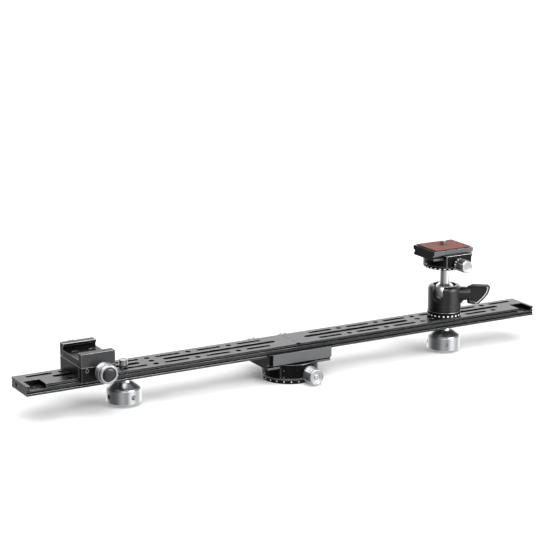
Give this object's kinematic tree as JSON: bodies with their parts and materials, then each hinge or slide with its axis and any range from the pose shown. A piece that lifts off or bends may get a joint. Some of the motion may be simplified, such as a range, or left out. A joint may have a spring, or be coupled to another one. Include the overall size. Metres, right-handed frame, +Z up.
{
  "type": "camera slider rail",
  "caption": "Two-piece dovetail camera rail on a panning clamp, with a sliding double clamp, thumbscrews through its slots and a small ball head with a release plate.",
  "frame": {"origin": "centre of the seat under the panning clamp, where the support's screw enters", "axes": "+X along the rail towards the ball head, -Y towards the clamp knobs, +Z up"},
  "size_m": [0.6, 0.0959, 0.123],
  "materials": {
    "black_anodised": "fine-blasted black anodised",
    "grey_anodised": "satin black anodised, lit grey",
    "satin_silver": "turned satin, clear anodised",
    "steel": "machined",
    "brass": "turned",
    "acetal": "moulded",
    "black_plastic": "moulded gloss",
    "brown_rubber": "matt ribbed"
  },
  "bodies": {
    "base": {"base_ring": "black_anodised", "pan_washer": "acetal", "pan_retainer": "steel", "pan_retainer_screw": "steel"},
    "pan_clamp": {"pan_clamp_body": "black_anodised", "pan_pin_left": "steel", "pan_pin_right": "steel"},
    "pan_jaw": {"pan_jaw": "black_anodised"},
    "pan_knob": {"pan_knob": "satin_silver", "pan_screw": "steel"},
    "coupling": {"coupling_body": "grey_anodised", "coupling_pin_left": "steel", "coupling_pin_right": "steel"},
    "coupling_jaw": {"coupling_jaw": "black_anodised"},
    "coupling_knob_left": {"coupling_knob_left": "satin_silver", "coupling_screw_left": "steel"},
    "coupling_knob_right": {"coupling_knob_right": "satin_silver", "coupling_screw_right": "steel"},
    "rail_left": {"rail_left": "grey_anodised"},
    "rail_right": {"rail_right": "grey_anodised"},
    "carriage": {"carriage_base": "grey_anodised", "carriage_deck": "grey_anodised", "carriage_bolt_left": "steel", "carriage_bolt_right": "steel", "deck_pin_left": "steel", "deck_pin_right": "steel"},
    "carriage_jaw": {"carriage_jaw": "black_anodised", "stop_screw": "steel"},
    "carriage_knob": {"carriage_knob": "satin_silver", "carriage_knob_cap": "black_plastic", "carriage_screw": "steel"},
    "deck_jaw": {"deck_jaw": "black_anodised"},
    "deck_knob": {"deck_knob": "satin_silver", "deck_screw": "steel"},
    "thumb_washer_left": {"thumb_washer_left": "steel"},
    "thumbscrew_left": {"thumb_knob_left": "satin_silver", "thumb_shank_left": "steel", "thumb_bush_left": "steel"},
    "head_base": {"head_base_ring": "black_anodised", "head_pan_nut": "steel", "thumb_washer_right": "steel"},
    "thumbscrew_right": {"thumb_knob_right": "satin_silver", "thumb_shank_right": "steel"},
    "head_housing": {"head_housing": "black_anodised", "ball_cup": "acetal", "lock_plunger": "brass"},
    "lock_lever": {"lock_lever": "black_anodised", "lock_screw": "steel"},
    "ball": {"ball": "satin_silver", "top_index_ring": "black_anodised", "top_pan_screw": "steel"},
    "top_clamp": {"top_clamp_body": "black_anodised"},
    "top_jaw": {"top_jaw": "black_anodised"},
    "top_knob": {"top_knob": "satin_silver", "top_screw": "steel"},
    "release_plate": {"release_plate": "black_anodised", "plate_pad": "brown_rubber"},
    "plate_screw": {"plate_screw": "steel"}
  },
  "joints": [
    {"name": "base_pan", "type": "hinge", "parent": "base", "child": "pan_clamp", "pos_m": [0, 0, 0], "axis": [0, 0, 1], "continuous": true},
    {"name": "pan_jaw_slide", "type": "slide", "parent": "pan_clamp", "child": "pan_jaw", "axis": [0, -1, 0], "range_m": [0, 0.0025]},
    {"name": "pan_knob_turn", "type": "hinge", "parent": "pan_jaw", "child": "pan_knob", "pos_m": [0.006, -0.0303, 0.0098], "axis": [0, -1, 0], "range_deg": [0, 720]},
    {"name": "coupling_slide", "type": "slide", "parent": "pan_clamp", "child": "coupling", "axis": [1, 0, 0], "range_m": [-0.012, 0.012]},
    {"name": "coupling_jaw_slide", "type": "slide", "parent": "coupling", "child": "coupling_jaw", "axis": [0, 1, 0], "range_m": [0, 0.0025]},
    {"name": "coupling_knob_left_turn", "type": "hinge", "parent": "coupling_jaw", "child": "coupling_knob_left", "pos_m": [-0.0181, 0.0316, 0.0255], "axis": [0, 1, 0], "range_deg": [0, 720]},
    {"name": "coupling_knob_right_turn", "type": "hinge", "parent": "coupling_jaw", "child": "coupling_knob_right", "pos_m": [0.0199, 0.0316, 0.0255], "axis": [0, 1, 0], "range_deg": [0, 720]},
    {"name": "rail_left_slide", "type": "slide", "parent": "coupling", "child": "rail_left", "axis": [-1, 0, 0], "range_m": [0, 0.03]},
    {"name": "rail_right_slide", "type": "slide", "parent": "coupling", "child": "rail_right", "axis": [1, 0, 0], "range_m": [0, 0.03]},
    {"name": "carriage_slide", "type": "slide", "parent": "rail_left", "child": "carriage", "axis": [-1, 0, 0], "range_m": [0, 0.04]},
    {"name": "carriage_jaw_slide", "type": "slide", "parent": "carriage", "child": "carriage_jaw", "axis": [0, -1, 0], "range_m": [0, 0.0025]},
    {"name": "carriage_knob_turn", "type": "hinge", "parent": "carriage_jaw", "child": "carriage_knob", "pos_m": [-0.223, -0.0265, 0.0457], "axis": [0, -1, 0], "range_deg": [0, 720]},
    {"name": "deck_jaw_slide", "type": "slide", "parent": "carriage", "child": "deck_jaw", "axis": [0, 1, 0], "range_m": [0, 0.0025]},
    {"name": "deck_knob_turn", "type": "hinge", "parent": "deck_jaw", "child": "deck_knob", "pos_m": [-0.228, 0.0263, 0.0552], "axis": [0, 1, 0], "range_deg": [0, 720]},
    {"name": "thumb_left_slide", "type": "slide", "parent": "rail_left", "child": "thumb_washer_left", "axis": [1, 0, 0], "range_m": [-0.01, 0.014]},
    {"name": "thumb_left_turn", "type": "hinge", "parent": "thumb_washer_left", "child": "thumbscrew_left", "pos_m": [-0.19, 0, 0.0282], "axis": [0, 0, 1], "continuous": true},
    {"name": "head_slide", "type": "slide", "parent": "rail_right", "child": "head_base", "axis": [1, 0, 0], "range_m": [-0.018, 0.067]},
    {"name": "thumb_right_turn", "type": "hinge", "parent": "head_base", "child": "thumbscrew_right", "pos_m": [0.194, 0, 0.0282], "axis": [0, 0, 1], "continuous": true},
    {"name": "head_pan", "type": "hinge", "parent": "head_base", "child": "head_housing", "pos_m": [0.194, 0, 0.0465], "axis": [0, 0, 1], "continuous": true},
    {"name": "lock_lever_turn", "type": "hinge", "parent": "head_housing", "child": "lock_lever", "pos_m": [0.21303, -0.01429, 0.0647], "axis": [0.7997, -0.6004, 0], "range_deg": [-30, 150]},
    {"name": "ball_tilt", "type": "hinge", "parent": "head_housing", "child": "ball", "pos_m": [0.194, 0, 0.0647], "axis": [0.4787, -0.878, 0], "range_deg": [-25, 68]},
    {"name": "top_pan", "type": "hinge", "parent": "ball", "child": "top_clamp", "pos_m": [0.194, 0, 0.0985], "axis": [0, 0, 1], "continuous": true},
    {"name": "top_jaw_slide", "type": "slide", "parent": "top_clamp", "child": "top_jaw", "axis": [0, -1, 0], "range_m": [0, 0.0025]},
    {"name": "top_knob_turn", "type": "hinge", "parent": "top_jaw", "child": "top_knob", "pos_m": [0.194, -0.0263, 0.1017], "axis": [0, -1, 0], "range_deg": [0, 720]},
    {"name": "plate_slide", "type": "slide", "parent": "top_clamp", "child": "release_plate", "axis": [1, 0, 0], "range_m": [-0.008, 0.008]},
    {"name": "plate_screw_turn", "type": "hinge", "parent": "release_plate", "child": "plate_screw", "pos_m": [0.191, 0, 0.1105], "axis": [0, 0, 1], "continuous": true}
  ],
  "couplings": [
    {"joint": "pan_knob_turn", "follows": "pan_jaw_slide", "rad_per_m": 5026.5},
    {"joint": "coupling_knob_left_turn", "follows": "coupling_jaw_slide", "rad_per_m": 5026.5},
    {"joint": "coupling_knob_right_turn", "follows": "coupling_jaw_slide", "rad_per_m": 5026.5},
    {"joint": "carriage_knob_turn", "follows": "carriage_jaw_slide", "rad_per_m": 5026.5},
    {"joint": "deck_knob_turn", "follows": "deck_jaw_slide", "rad_per_m": 5026.5},
    {"joint": "top_knob_turn", "follows": "top_jaw_slide", "rad_per_m": 5026.5}
  ]
}
